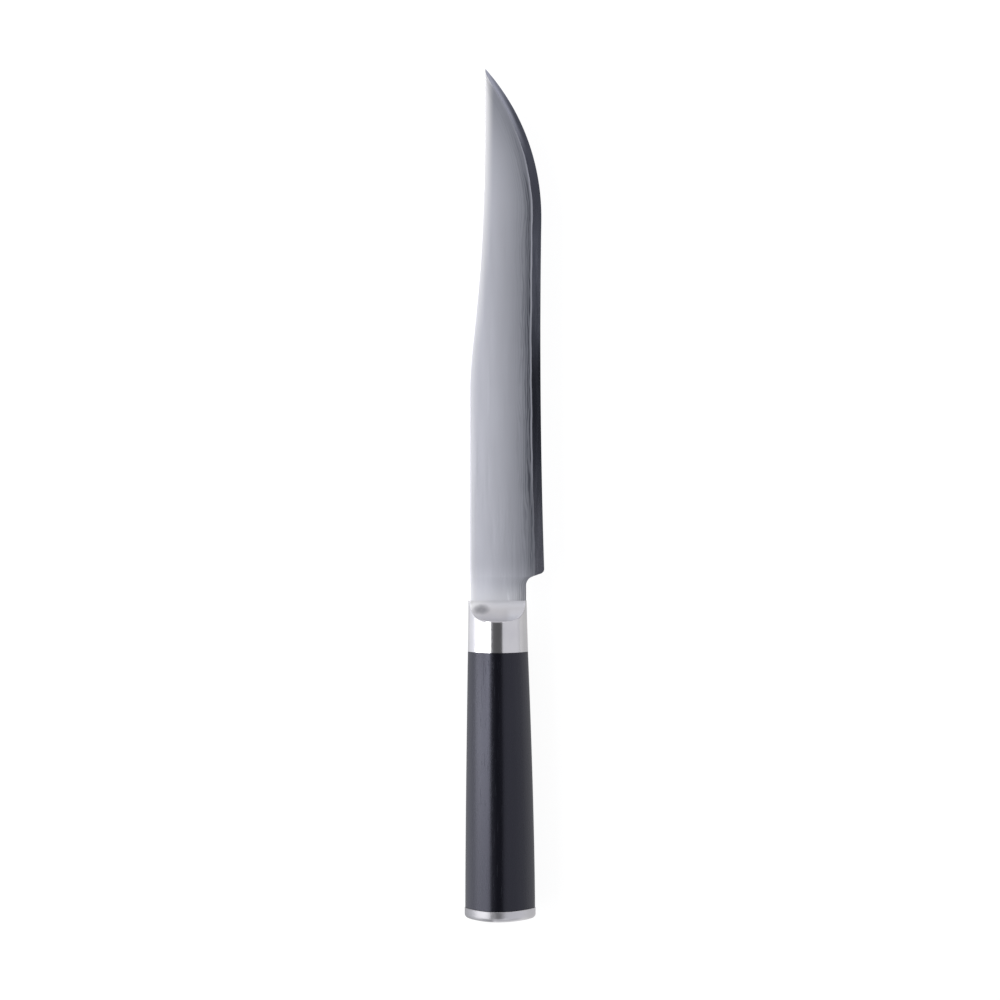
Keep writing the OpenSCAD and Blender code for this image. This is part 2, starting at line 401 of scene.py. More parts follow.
@dataclass(frozen=True)
class CoreSteel:
    """Ground bare core: closer to a mirror than the cladding, and darker, partly its own steel and
    partly a painted reflection of the dim room above it.

    Steps and spans are in mm along the blade from the bolster, or from the edge of the cladding.
    """

    # Dark base: partly the core's own steel, partly painted reflection of the dim room above.
    tone: Colour = (0.155, 0.165, 0.21)
    paler_tone: Colour = (0.56, 0.57, 0.66)
    paler_share: float = 0.8
    paler_steps: tuple[Step, ...] = ((8.0, 62.0, -1.0), (82.0, 112.0, 0.16), (186.0, 202.0, 0.45))
    deep_tone: Colour = (0.04, 0.042, 0.055)
    deep_steps: tuple[Step, ...] = (
        (48.0, 74.0, 0.6),
        (82.0, 108.0, -0.6),
        (122.0, 160.0, 0.72),
        (182.0, 202.0, -0.6),
    )
    point_along: Pair = (168.0, 188.0)
    point_across: Pair = (-2.0, -0.4)
    point_share: float = 0.6
    clouds: Point = (900.0, 60.0, 900.0)
    cloud_share: float = 0.15
    cloud_roughness: float = 0.06
    roughness: float = 0.22
    scratches: Point = (2400.0, 60.0, 2400.0)
    relief: float = 0.000002

    def make(self) -> bpy.types.Material:
        """Builds the material.

        Returns:
            The material.
        """
        steel = Finish("core steel", self.tone, metallic=1.0, roughness=self.roughness)
        along, across = steel.surface(Layer.ALONG_ACROSS)
        cloud = steel.noise(steel.position(self.clouds), detail=4.0)
        # Lighter and darker stretches along the bare core.
        paler = along.steps(1.0, self.paler_steps) * self.paler_share
        paler = paler + cloud.around(0.0, self.cloud_share)
        tone = steel.mix(paler, self.tone, self.paler_tone)
        tone = steel.mix(along.steps(0.0, self.deep_steps), tone, self.deep_tone)
        point = along.ramp(*self.point_along) * across.ramp(*self.point_across)
        steel.feed("Base Color", steel.mix(point * self.point_share, tone, self.paler_tone))
        steel.feed("Roughness", cloud.around(self.roughness, self.cloud_roughness))
        steel.bump(steel.noise(steel.position(self.scratches)), self.relief)
        return steel.material


@dataclass(frozen=True)
class PolishedSteel:
    """Bolster and cap: polished, satin in the scoops, with very fine lines round the section, and
    painted light and shade: darker sides and left flank, a lighter scoop foot and a painted
    reflection in the scoop.

    Spans are in mm, along the knife from the bolster's front or aside from the ridge line.
    """

    tone: Colour = (0.64, 0.63, 0.64)
    cloud_tone: Colour = (0.60, 0.59, 0.605)
    clouds: Point = (90.0, 90.0, 90.0)
    cloud_detail: float = 3.0
    cloud_step: Pair = (0.3, 0.7)
    # Painted shade: darker towards the sides, away from the scoops.
    side_shading: float = 0.32
    side_shade_shares: Pair = (0.6, 0.9)
    # Painted shade: the left flank, facing the strong light, keeps this share of its tone.
    left_flank_shade: float = 1.0
    flank_aside: Pair = (-2.6, -1.0)

    # Painted highlight: lighter foot of the scoop next to the blade, white at its left-hand corner
    # where the spine's highlight runs on.
    foot_highlight_tone: Colour = (0.79, 0.79, 0.82)
    foot_along: Pair = (-3.6, -0.6)
    foot_aside: Pair = (-11.0, 0.0)
    lift: float = 0.75
    lift_along: Pair = (-6.0, -2.0)
    lift_aside: Pair = (2.6, 5.4)
    corner_highlight_tone: Colour = (1.0, 1.0, 1.0)
    corner_along: Pair = (-5.0, -1.5)
    corner_aside: Pair = (-10.7, -8.2)

    # Painted reflection: a dark cloudy spot in the scoop.
    reflection_spot_tone: Colour = (0.3, 0.3, 0.315)
    reflection_spot_place: Pair = (-6.25, -3.3)
    reflection_spot_reach: Pair = (3.7, 2.25)
    reflection_spot_edge: Pair = (-0.3, 1.1)
    reflection_spot_grain: float = 0.45
    reflection_spot_wander: float = 0.35

    roughness: float = 0.18
    scooped_roughness: float = 0.5
    lines: Point = (60.0, 3000.0, 60.0)
    line_roughness: float = 0.05
    relief: float = 0.0000015

    def reflection_spot(self, steel: Finish, along: Value, aside: Value) -> Value:
        """Painted reflection: a dark cloudy spot beside the left-hand brow of the scoop.

        Args:
            steel: the material under construction.
            along: distance along the knife.
            aside: distance aside from the ridge line.
        Returns:
            How much of the spot a place has, from 0 to 1.
        """
        off_x = (aside - self.reflection_spot_place[0]) / self.reflection_spot_reach[0]
        off_y = (along - self.reflection_spot_place[1]) / self.reflection_spot_reach[1]
        wander = steel.noise(steel.vector(along, aside), self.reflection_spot_grain)
        wander = wander.around(0.0, self.reflection_spot_wander)
        return (off_x * off_x + off_y * off_y + wander).fall(*self.reflection_spot_edge)

    def make(self) -> bpy.types.Material:
        """Builds the material.

        Returns:
            The material.
        """
        steel = Finish("polished steel", self.tone, metallic=1.0, roughness=self.roughness)
        along, scooped = steel.surface(Layer.ALONG_ACROSS)
        aside, sideways = steel.surface(Layer.ASIDE)
        lines = steel.noise(steel.position(self.lines))
        cloud = steel.noise(steel.position(self.clouds), detail=self.cloud_detail)

        tone = steel.mix(cloud.ramp(*self.cloud_step), self.tone, self.cloud_tone)
        # Painted shade: the sides, away from the scoops, are made darker.
        side_shade = sideways.ramp(*self.side_shade_shares) * (1.0 - scooped) * self.side_shading
        tone = steel.scaled(tone, 1.0 - side_shade)
        # Painted shade on the left flank.
        flank = aside.ramp(*self.flank_aside).between(self.left_flank_shade, 1.0)
        tone = steel.scaled(tone, flank)

        # Painted highlight at the scoop's foot and left-hand corner.
        foot_highlight_tone = steel.mix(aside.ramp(*self.foot_aside), self.corner_highlight_tone, self.foot_highlight_tone)
        lifted = aside.ramp(*self.lift_aside) * along.fall(*self.lift_along) * self.lift
        below = along.fall(*self.foot_along) * (1.0 - lifted)
        tone = steel.mix(scooped * (1.0 - below), tone, foot_highlight_tone)
        # Painted reflection in the scoop.
        tone = steel.mix(scooped * self.reflection_spot(steel, along, aside), tone, self.reflection_spot_tone)
        corner = scooped * aside.fall(*self.corner_aside) * along.ramp(*self.corner_along)
        steel.feed("Base Color", steel.mix(corner, tone, self.corner_highlight_tone))

        rough = scooped.between(self.roughness, self.scooped_roughness)
        steel.feed("Roughness", lines.around(0.0, self.line_roughness) + rough)
        steel.bump(lines, self.relief)
        return steel.material


@dataclass(frozen=True)
class LaminatedWood:
    """Black wood pressed with resin: fine drawn-out pores under a satin skin."""

    tone: Colour = (0.0008, 0.0009, 0.0026)
    grain_tone: Colour = (0.003, 0.003, 0.0052)
    sheen: Colour = (0.82, 0.825, 1.0)
    bands: Point = (420.0, 14.0, 420.0)
    band_detail: float = 5.0
    band_step: Pair = (0.35, 0.75)
    band_roughness: float = 0.08
    band_depth: float = 0.4
    pores: Point = (2200.0, 130.0, 2200.0)
    pore_step: Pair = (0.60, 0.72)
    pore_roughness: float = 0.12
    roughness: float = 0.25
    polish: float = 0.03
    relief: float = 0.000004

    def make(self) -> bpy.types.Material:
        """Builds the material.

        Returns:
            The material.
        """
        rough, sheen = self.roughness, self.sheen
        wood = Finish("dark wood", self.tone, roughness=rough, specular_tint=sheen)
        bands = wood.noise(wood.position(self.bands), detail=self.band_detail)
        pits = wood.noise(wood.position(self.pores)).ramp(*self.pore_step)
        grain = bands.ramp(*self.band_step)
        wood.feed("Base Color", wood.mix(grain, self.tone, self.grain_tone))
        uneven = bands * self.band_roughness + pits * self.pore_roughness
        wood.feed("Roughness", uneven + (self.roughness - self.polish))
        wood.bump(bands * self.band_depth - pits, self.relief)
        return wood.material


@dataclass(frozen=True)
class HiddenSteel:
    """Tang and welds inside the handle."""

    name: str
    tone: Colour
    roughness: float
    grain: float = 700.0
    unevenness: float = 0.15
    relief: float = 0.00002

    def make(self) -> bpy.types.Material:
        """Builds the material.

        Returns:
            The material.
        """
        steel = Finish(self.name, self.tone, metallic=1.0, roughness=self.roughness)
        scale = steel.noise(steel.position(), self.grain, 4.0)
        steel.feed("Roughness", scale.around(self.roughness, self.unevenness))
        steel.bump(scale, self.relief)
        return steel.material


@dataclass(frozen=True)
class SetResin:
    """Bedding in the handle's slot."""

    tone: Colour = (0.05, 0.045, 0.04)
    pale_tone: Colour = (0.08, 0.075, 0.07)
    grain: float = 260.0
    roughness: float = 0.45

    def make(self) -> bpy.types.Material:
        """Builds the material.

        Returns:
            The material.
        """
        resin = Finish("set resin", self.tone, roughness=self.roughness)
        cloud = resin.noise(resin.position(), self.grain, 3.0)
        resin.feed("Base Color", resin.mix(cloud, self.tone, self.pale_tone))
        return resin.material


@dataclass(frozen=True)
class WhitePaper:
    """Floor of the studio: white paper that glows, with painted light making it brighter on the
    left of the knife.
    """

    tone: Colour = (0.12, 0.12, 0.12)
    roughness: float = 0.9
    glow: float = 0.91
    glow_right: Colour = (1.0, 1.0, 1.0)
    glow_left: Colour = (1.62, 1.65, 1.75)
    change: Pair = (-0.05, -0.01)

    def make(self) -> bpy.types.Material:
        """Builds the material.

        Returns:
            The material.
        """
        rough, glow = self.roughness, self.glow
        paper = Finish("white paper", self.tone, roughness=rough, emission_strength=glow)
        across, _ = paper.parts(paper.position())
        # Painted light: the glow is stronger left of the knife.
        lit = across.fall(*self.change)
        paper.feed("Emission Color", paper.mix(lit, self.glow_right, self.glow_left))
        return paper.material


@dataclass(frozen=True)
class Seat:
    """Where the knife lies in the row frame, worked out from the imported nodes, in metres."""

    front_y: float
    ridge_x: float
    middle_z: float

    @classmethod
    def from_frame(cls) -> "Seat":
        """Reads the seat from the nodes' boxes.

        Returns:
            The seat.
        """
        core_low, core_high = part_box("blade_core")
        ridge_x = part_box("handle")[0].x + GRIP_REAR.back * MM
        return cls(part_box("bolster")[1].y, ridge_x, (core_low.z + core_high.z) / 2)

    def place(self, point: Sequence[float]) -> Vector:
        """Row-frame place of a point given in mm from the ridge line and the bolster's front."""
        x, y, z = point
        return Vector((self.ridge_x + x * MM, self.front_y + y * MM, self.middle_z + z * MM))

    def local(self, place: Vector) -> Vector:
        """Point in mm from the ridge line and the bolster's front, given in the row frame."""
        return (place - Vector((self.ridge_x, self.front_y, self.middle_z))) / MM


def loft_mesh(name: str, rings: Sequence[Ring], seat: Seat) -> bpy.types.Mesh:
    """Closed mesh through rings that all have the same number of points, with doubles merged.

    Args:
        name: the mesh's name.
        rings: rings in mm, anticlockwise when seen from the butt, the rearmost first.
        seat: where the knife lies.
    Returns:
        The mesh.
    """
    n = len(rings[0])
    faces: list[tuple[int, ...]] = []
    for start in range(0, (len(rings) - 1) * n, n):
        for j in range(n):
            a, b = start + j, start + (j + 1) % n
            faces.append((a, b, b + n, a + n))
    faces.append(tuple(reversed(range(n))))
    faces.append(tuple((len(rings) - 1) * n + j for j in range(n)))
    mesh = bpy.data.meshes.new(name)
    mesh.from_pydata([seat.place(p) for ring in rings for p in ring], [], faces)
    work = bmesh.new()
    work.from_mesh(mesh)
    bmesh.ops.remove_doubles(work, verts=work.verts, dist=MERGE)
    bmesh.ops.dissolve_degenerate(work, edges=work.edges, dist=MERGE)
    bmesh.ops.recalc_face_normals(work, faces=work.faces)
    work.to_mesh(mesh)
    work.free()
    return mesh


def map_surface(mesh: bpy.types.Mesh, *layers: Callable[[Vector], Pair]) -> None:
    """Gives a mesh its own coordinates, two in each layer.

    Args:
        mesh: the mesh.
        layers: the coordinates of a point of the mesh, one function for each layer in order.
    """
    for kind, where in zip(Layer, layers):
        layer = mesh.uv_layers.new(name=kind.value)
        for loop in mesh.loops:
            layer.data[loop.index].uv = where(mesh.vertices[loop.vertex_index].co)


def finish_piece(
    name: str, mesh: bpy.types.Mesh, material: bpy.types.Material, nodes: Iterable[str]
) -> bpy.types.Object:
    """Turns a mesh into a piece that stands for CAD nodes.

    Args:
        name: the piece's name.
        mesh: its mesh.
        material: its finish.
        nodes: the CAD nodes it stands for.
    Returns:
        The piece.
    """
    piece = bpy.data.objects.new(name, mesh)
    bpy.context.scene.collection.objects.link(piece)
    mesh.materials.append(material)
    mesh.shade_smooth()
    mesh.set_sharp_from_angle(angle=SHARP_ANGLE)
    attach(piece, "root")
    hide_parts(*nodes)
    return piece


@dataclass(frozen=True)
class Section:
    """Ridged section of bolster, grip and cap, in mm from the ridge line and the blade's middle."""

    back: float
    belly: float
    ridge: float
    depth: float
    ridge_power: float = 1.8
    flank_power: float = 1.25
    under_power: float = 2.3
    under_flat: float = 5.0

    def sizes(self) -> tuple[float, float, float, float]:
        """How far it reaches to the spine side, the edge side, up and down."""
        return self.back, self.belly, self.ridge, self.depth

    def inset(self, by: float) -> "Section":
        """The same section drawn in all round."""
        return Section(*(size - by for size in self.sizes()))

    def towards(self, other: "Section", t: float) -> "Section":
        """Section a share t of the way to another."""
        return Section(*(blend(a, b, t) for a, b in zip(self.sizes(), other.sizes())))

    def at(self, angle: float) -> Pair:
        """Point of the outline.

        Args:
            angle: angle round the outline, from the edge side through the ridge, in radians.
        Returns:
            Its x and z.
        """
        c, s = math.cos(angle), math.sin(angle)
        side, across = (1, self.belly) if c > 0 else (-1, self.back)
        if s > 0:
            x = side * abs(c) ** (2 / self.ridge_power) * across
            return x, self.ridge * s ** (2 / self.flank_power)
        fullness = 2 / self.under_power
        half_flat = self.under_flat / 2
        x = side * (half_flat + (across - half_flat) * abs(c) ** fullness)
        return x, -self.depth * (-s) ** fullness

    def sideways(self, x: float) -> float:
        """Share of the way from the ridge line to the side."""
        return abs(x) / (self.belly if x > 0 else self.back)

    def ring(self, y: float, points: int = 146) -> Ring:
        """Outline at a station along the knife."""
        return [(x, y, z) for x, z in map(self.at, round_angles(points))]


GRIP_FRONT = Section(11.5, 11.5, 8.6, 8.1)
GRIP_REAR = Section(12.5, 14.2, 10.3, 9.3)


def round_angles(points: int) -> list[float]:
    """Angles round a section, half a step off so that none falls in the middle of the flat."""
    return [2 * math.pi * (i + 0.5) / points for i in range(points)]


@dataclass
class Blade:
    """Three-layer blade with its heel, neck and stub, in mm from the bolster's front."""

    seat: Seat
    length: float = 203.0
    width: float = 27.1
    spine_x: float = -10.85
    heel_drop: float = 1.5
    waist_distance: float = 101.0
    belly_distance: float = 145.0
    point_drop: float = 6.1
    drop_distance: float = 82.0
    drop_length: float = 43.0
    drop_power: float = 1.5

    spine_thickness: float = 2.05
    tip_thickness: float = 1.15
    face_crown: float = 0.18
    core_thickness: float = 0.62
    edge_thickness: float = 0.06
    strip_width: float = 3.4
    strip_waves: tuple[Step, ...] = ((0.05, 3.1, 0.0), (0.06, 7.3, 1.0), (0.03, 1.3, 0.0))
    point_fade: float = 3.0
    tip_land: float = 0.1
    spine_round: float = 0.22
    soft_width: float = 2.4
    soft_tip_width: float = 4.2
    soft_drop: float = 0.24

    neck_width: float = 21.6
    neck_length: float = 8.3
    heel_angle: float = 19.5
    neck_radius: float = 3.6
    heel_radius: float = 1.8
    stub_width: float = 12.0
    stub_back: float = 26.0
    # Painted shade: width in mm by which the dark band is laid along the neck's edge.
    neck_shade: float = 0.8

    sunk_share: float = 0.97
    face_points: int = 36
    face_bias: float = 1.7
    round_turns: tuple[float, ...] = (30.0, 60.0, 90.0)
    ground_points: int = 6
    neck_points: int = 14
    heel_points: int = 12
    heel_stations: int = 40
    body_start: float = 0.4
    body_stations: int = 90
    point_stations: int = 90
    point_bias: float = 1.3

    def __post_init__(self) -> None:
        """Works out the belly's arc and the outline of neck and heel."""
        self.waist_x = self.spine_x + self.width
        self.heel_span = self.waist_distance - self.neck_length - self.heel_radius
        tip_y = self.length + self.tip_land
        run = tip_y - self.belly_distance
        rise = self.bowed_edge(tip_y) - self.spine(tip_y)
        self.belly_radius = (run * run + rise * rise) / (2 * rise)
        self.relief = self.relief_outline()

    def spine(self, y: float) -> float:
        """x of the spine."""
        gone = max(y - self.drop_distance, 0.0) / self.drop_length
        return self.spine_x + self.point_drop * (1 - math.exp(-(gone**self.drop_power)))

    def bowed_edge(self, y: float) -> float:
        """x of the edge before the belly turns it in."""
        return self.waist_x + self.heel_drop * ((y - self.waist_distance) / self.heel_span) ** 2

    def edge(self, y: float) -> float:
        """x of the cutting edge."""
        past = max(y - self.belly_distance, 0.0)
        return self.bowed_edge(y) - self.belly_radius + math.sqrt(self.belly_radius**2 - past**2)

    def fade(self, y: float) -> float:
        """Share of their full value that thickness and bare strip have at a station."""
        wide = self.edge(y) - self.spine(y)
        return wide / (wide + self.point_fade) * (self.width + self.point_fade) / self.width

    def strip(self, y: float) -> float:
        """x where the core comes bare, with the slight wander of a forged layer."""
        wander = sum(size * math.sin(y / wave + lag) for size, wave, lag in self.strip_waves)
        return self.edge(y) - (self.strip_width + wander) * self.fade(y)

    def core_half(self, y: float) -> float:
        """Half the thickness of the core."""
        return self.fade(y) * self.core_thickness / 2

    def along(self, y: float) -> float:
        """Share of the way from the bolster to the tip."""
        return max(y, 0.0) / self.length

    def spine_half(self, y: float) -> float:
        """Half the thickness of the spine."""
        return self.fade(y) * blend(self.spine_thickness, self.tip_thickness, self.along(y)) / 2

    def half(self, y: float, x: float) -> float:
        """Half the blade's thickness.

        Args:
            y: station.
            x: place across the face.
        Returns:
            The distance of the face from the blade's middle.
        """
        strip, core = self.strip(y), self.core_half(y)
        if x > strip:
            share = (x - strip) / (self.edge(y) - strip)
            return blend(core, self.fade(y) * self.edge_thickness / 2, share)
        share = (strip - x) / (strip - self.spine(y))
        crown = 4 * self.face_crown * self.fade(y) * share * (1 - share)
        return blend(core, self.spine_half(y), share) + crown - self.softening(y, x)

    def softening(self, y: float, x: float) -> float:
        """How much the face is eased down beside the spine."""
        width = blend(self.soft_width, self.soft_tip_width, self.along(y)) * self.fade(y)
        return self.soft_drop * self.fade(y) * (1 - min((x - self.start(y)) / width, 1.0)) ** 2

    def relief_outline(self) -> list[Pair]:
        """Outline of neck and heel.

        Returns:
            Its points as (y, x), from the bolster to the edge.
        """
        tilt = math.radians(self.heel_angle)
        turn = math.pi / 2 - tilt
        neck, heel = self.neck_radius, self.heel_radius
        neck_x = self.spine_x + self.neck_width
        first_y = self.neck_length + neck * (math.tan(tilt) - 1 / math.cos(tilt))
        points = [(0.0, neck_x), (first_y, neck_x)]
        for t in spread(0.0, turn, self.neck_points):
            points.append((first_y + neck * math.sin(t), neck_x + neck * (1 - math.cos(t))))
        heel_y = self.neck_length + math.tan(tilt) * (self.edge(self.neck_length) - neck_x)
        inner_x = self.edge(heel_y + heel) - heel
        inner_y = self.neck_length + (inner_x - neck_x) * math.tan(tilt) + heel / math.cos(tilt)
        for t in spread(-turn, 0.0, self.heel_points):
            points.append((inner_y + heel * math.sin(t), inner_x + heel * math.cos(t)))
        return points

    def limit(self, y: float) -> float:
        """Where neck and heel cut the blade away.

        Args:
            y: station.
        Returns:
            x beyond which nothing is left.
        """
        if y < 0:
            return self.stub_width / 2
        for (y0, x0), (y1, x1) in zip(self.relief, self.relief[1:]):
            if y < y1:
                return blend(x0, x1, (y - y0) / (y1 - y0))
        return self.edge(y)

    def start(self, y: float) -> float:
        """x at which the blade begins on its spine side."""
        return self.spine(y) if y >= 0 else -self.stub_width / 2

    def stations(self) -> list[float]:
        """Stations along the blade.

        Returns:
            Their y, close together at the heel and towards the tip.
        """
        just_behind = -1e-4
        first, last = self.relief[1][0], self.relief[-1][0]
        heel = {y for y, _ in self.relief} | set(spread(first, last, self.heel_stations))
        body = spread(last + self.body_start, self.belly_distance, self.body_stations)
        left = self.length - self.belly_distance
        shares = spread(0.0, 1.0, self.point_stations)[1:]
        point = [self.length - left * (1 - t) ** self.point_bias for t in shares]
        return [-self.stub_back, just_behind] + sorted(heel) + body + point

    def cladding_ring(self, y: float, side: Side) -> Ring:
        """Section of one stack of cladding.

        Args:
            y: station.
            side: the face it is on.
        Returns:
            The ring, anticlockwise when seen from the butt.
        """
        first, last = self.start(y), min(self.strip(y), self.limit(y))
        sunk = self.core_half(y) * self.sunk_share
        ease = self.spine_round * self.fade(y)
        ring = [(first, y, sunk), (last, y, sunk)]
        for t in spread(0.0, 1.0, self.face_points):
            x = blend(first + ease, last, (1 - t) ** self.face_bias)
            ring.append((x, y, self.half(y, x)))
        crest = self.half(y, first + ease)
        for a in map(math.radians, self.round_turns):
            x = first + ease * (1 - math.sin(a))
            ring.append((x, y, crest - ease * (1 - math.cos(a))))
        if side is Side.LEFT:
            ring = [(x, y, -z) for x, y, z in reversed(ring)]
        return ring

    def core_ring(self, y: float) -> Ring:
        """Section of the core.

        Args:
            y: station.
        Returns:
            The ring, anticlockwise when seen from the butt.
        """
        first, last = self.start(y), min(self.edge(y), self.limit(y))
        strip = min(self.strip(y), last)
        core = self.core_half(y)
        ground = spread(last, strip, self.ground_points)
        upper = [(x, y, min(self.half(y, x), core)) for x in ground] + [(first, y, core)]
        return [(x, y, -z) for x, y, z in reversed(upper)] + upper

    def coordinates(self, place: Vector) -> Pair:
        """Coordinates of a point for the finishes.

        Args:
            place: the point, in the row frame.
        Returns:
            Distance along the blade and from the bare core, in mm; beside the neck, from the neck's
            edge plus neck_shade, which lays painted shade along that edge.
        """
        local = self.seat.local(place)
        y = min(max(local.y, 0.0), self.length)
        across = self.strip(y) - local.x
        # Beside the neck the dark band is laid along its edge as painted shade.
        if self.limit(y) < self.edge(y):
            across = min(across, self.limit(y) - local.x + self.neck_shade)
        return y, across

    def aside(self, place: Vector) -> Pair:
        """Distance from the spine, in mm, and 0."""
        local = self.seat.local(place)
        return local.x - self.spine(min(max(local.y, 0.0), self.length)), 0.0

    def build(self) -> Pieces:
        """Builds and dresses core and cladding.

        Returns:
            The three pieces.
        """
        stations = self.stations()
        layered = LayeredSteel().make()
        pieces = []
        for name, side in (("cladding_right", Side.RIGHT), ("cladding_left", Side.LEFT)):
            mesh = loft_mesh(name, [self.cladding_ring(y, side) for y in stations], self.seat)
            map_surface(mesh, self.coordinates, self.aside)
            pieces.append(finish_piece(f"{name}_skin", mesh, layered, [name]))
        mesh = loft_mesh("core", [self.core_ring(y) for y in stations], self.seat)
        map_surface(mesh, self.coordinates)
        core = CoreSteel().make()
        pieces.append(finish_piece("blade_core_skin", mesh, core, ["blade_core"]))
        return pieces


@dataclass
class Bolster:
    """Polished bolster, scooped from its ridge down to the blade, in mm."""

    seat: Seat
    finish: PolishedSteel = PolishedSteel()
    length: float = 19.5
    front: Section = Section(11.25, 10.95, 8.1, 7.7)
    rear: Section = GRIP_FRONT
    scoop_radius: float = 7.7
    floor: float = 1.125
    rim: float = 0.3
    scoop_slack: float = 0.02
    crest_rounds: int = 6
    points: int = 194
    outside_points: int = 12
    rim_points: int = 4
    scoop_points: int = 24

    def section(self, y: float) -> Section:
        """Section at a station."""
        return self.front.towards(self.rear, -y / self.length)

    def crest(self, angle: float) -> float:
        """Where the outline meets the scoop, found by repeated correction.

        Args:
            angle: angle round the section, in radians.
        Returns:
            The station.
        """
        y = 0.0
        centre = self.floor + self.scoop_radius
        for _ in range(self.crest_rounds):
            z = abs(self.section(y).at(angle)[1])
            if z <= self.floor:
                return 0.0
            y = -math.sqrt(max(self.scoop_radius**2 - (centre - min(z, centre)) ** 2, 0.0))
        return y

    def flank(self, angle: float, y: float) -> Vector:
        """Point on the outside."""
        x, z = self.section(y).at(angle)
        return Vector((x, y, z))

    def hollow(self, brow: Vector, turn: float) -> Vector:
        """Point in the scoop.

        Args:
            brow: where the scoop meets the outside.
            turn: angle up the scoop's quarter circle, in radians.
        Returns:
            The point.
        """
        if abs(brow.z) <= self.floor:
            return Vector((brow.x, 0.0, brow.z))
        side = math.copysign(1.0, brow.z)
        z = side * (self.floor + self.scoop_radius * (1 - math.cos(turn)))
        return Vector((brow.x, -self.scoop_radius * math.sin(turn), z))

    def profile(self, angle: float) -> list[Vector]:
        """Line from the rear along the outside, over the eased rim and down the scoop.

        Args:
            angle: angle round the section, in radians.
        Returns:
            The line.
        """
        crest = self.crest(angle)
        brow = self.flank(angle, crest)
        top = math.asin(min(-crest / self.scoop_radius, 1.0))
        rim = min(self.rim, -crest / 3)
        inner_turn = top - rim / self.scoop_radius
        outside = spread(-self.length, crest - rim, self.outside_points)
        line = [self.flank(angle, y) for y in outside]
        outer, inner = line[-1], self.hollow(brow, inner_turn)
        for t in spread(0.0, 1.0, self.rim_points + 2)[1:-1]:
            line.append(outer.lerp(brow, t).lerp(brow.lerp(inner, t), t))
        for turn in spread(inner_turn, 0.0, self.scoop_points):
            line.append(self.hollow(brow, turn))
        return line

    def coordinates(self, place: Vector) -> Pair:
        """Coordinates of a point for the finish.

        Args:
            place: the point, in the row frame.
        Returns:
            Distance along the bolster in mm, and 1 in the scoops or 0 elsewhere.
        """
        local = self.seat.local(place)
        centre = self.floor + self.scoop_radius
        off = abs(math.hypot(local.y, abs(local.z) - centre) - self.scoop_radius)
        return local.y, float(off < self.scoop_slack)

    def aside(self, place: Vector) -> Pair:
        """Distance from the ridge line in mm, and as a share of the way to the side."""
        local = self.seat.local(place)
        return local.x, self.section(local.y).sideways(local.x)

    def build(self) -> Pieces:
        """Builds and dresses the bolster.

        Returns:
            The one piece.
        """
        lines = [self.profile(angle) for angle in round_angles(self.points)]
        mesh = loft_mesh("bolster", list(zip(*lines)), self.seat)
        map_surface(mesh, self.coordinates, self.aside)
        steel = self.finish.make()
        return [finish_piece("bolster_body", mesh, steel, ["bolster"])]


@dataclass
class Grip:
    """One-piece wooden grip, in mm."""

    seat: Seat
    front_y: float = -19.5
    length: float = 97.7
    flare: float = 1.5
    ease: float = 0.12
    stations: int = 60

    def section(self, t: float) -> Section:
        """Section a share t of the way to the butt."""
        return GRIP_FRONT.towards(GRIP_REAR, 1 - (1 - t) ** self.flare)

    def build(self) -> Pieces:
        """Builds and dresses the grip, its two ends slightly eased.

        Returns:
            The one piece.
        """
        rings = [self.section(1.0).inset(self.ease).ring(self.front_y - self.length)]
        eased = self.ease / self.length
        for t in spread(1.0 - eased, eased, self.stations):
            rings.append(self.section(t).ring(self.front_y - self.length * t))
        rings.append(self.section(0.0).inset(self.ease).ring(self.front_y))
        mesh = loft_mesh("grip", rings, self.seat)
        wood = LaminatedWood().make()
        return [finish_piece("grip", mesh, wood, ["handle"])]


@dataclass
class EndCap:
    """Flat end cap with a rounded rim, in mm."""

    seat: Seat
    finish: PolishedSteel = PolishedSteel(
        tone=(0.56, 0.55, 0.565),
        cloud_tone=(0.52, 0.515, 0.535),
        roughness=0.34,
        # Painted shade: the cap's left flank keeps half its tone.
        left_flank_shade=0.5,
        side_shading=0.2,
    )
    front_y: float = -117.2
    thickness: float = 4.1
    rim: float = 1.8
    ease: float = 0.1
    full: Section = Section(12.7, 14.4, 10.5, 9.5)
    rim_points: int = 14
    wall_points: int = 4

    def coordinates(self, place: Vector) -> Pair:
        """Distance along the knife, in mm, and 0: the cap has no scoop."""
        return self.seat.local(place).y, 0.0

    def aside(self, place: Vector) -> Pair:
        """Distance from the ridge line in mm, and as a share of the way to the side."""
        x = self.seat.local(place).x
        return x, self.full.sideways(x)

    def build(self) -> Pieces:
        """Builds and dresses the cap.

        Returns:
            The one piece.
        """
        butt = self.front_y - self.thickness
        rings = []
        for a in map(math.radians, spread(90.0, 0.0, self.rim_points)):
            drawn_in = self.full.inset(self.rim * (1 - math.cos(a)))
            rings.append(drawn_in.ring(butt + self.rim * (1 - math.sin(a))))
        wall = spread(butt + self.rim, self.front_y - self.ease, self.wall_points + 1)[1:]
        rings += [self.full.ring(y) for y in wall]
        rings.append(self.full.inset(self.ease).ring(self.front_y))
        mesh = loft_mesh("cap", rings, self.seat)
        map_surface(mesh, self.coordinates, self.aside)
        steel = self.finish.make()
        return [finish_piece("end_cap_body", mesh, steel, ["end_cap"])]


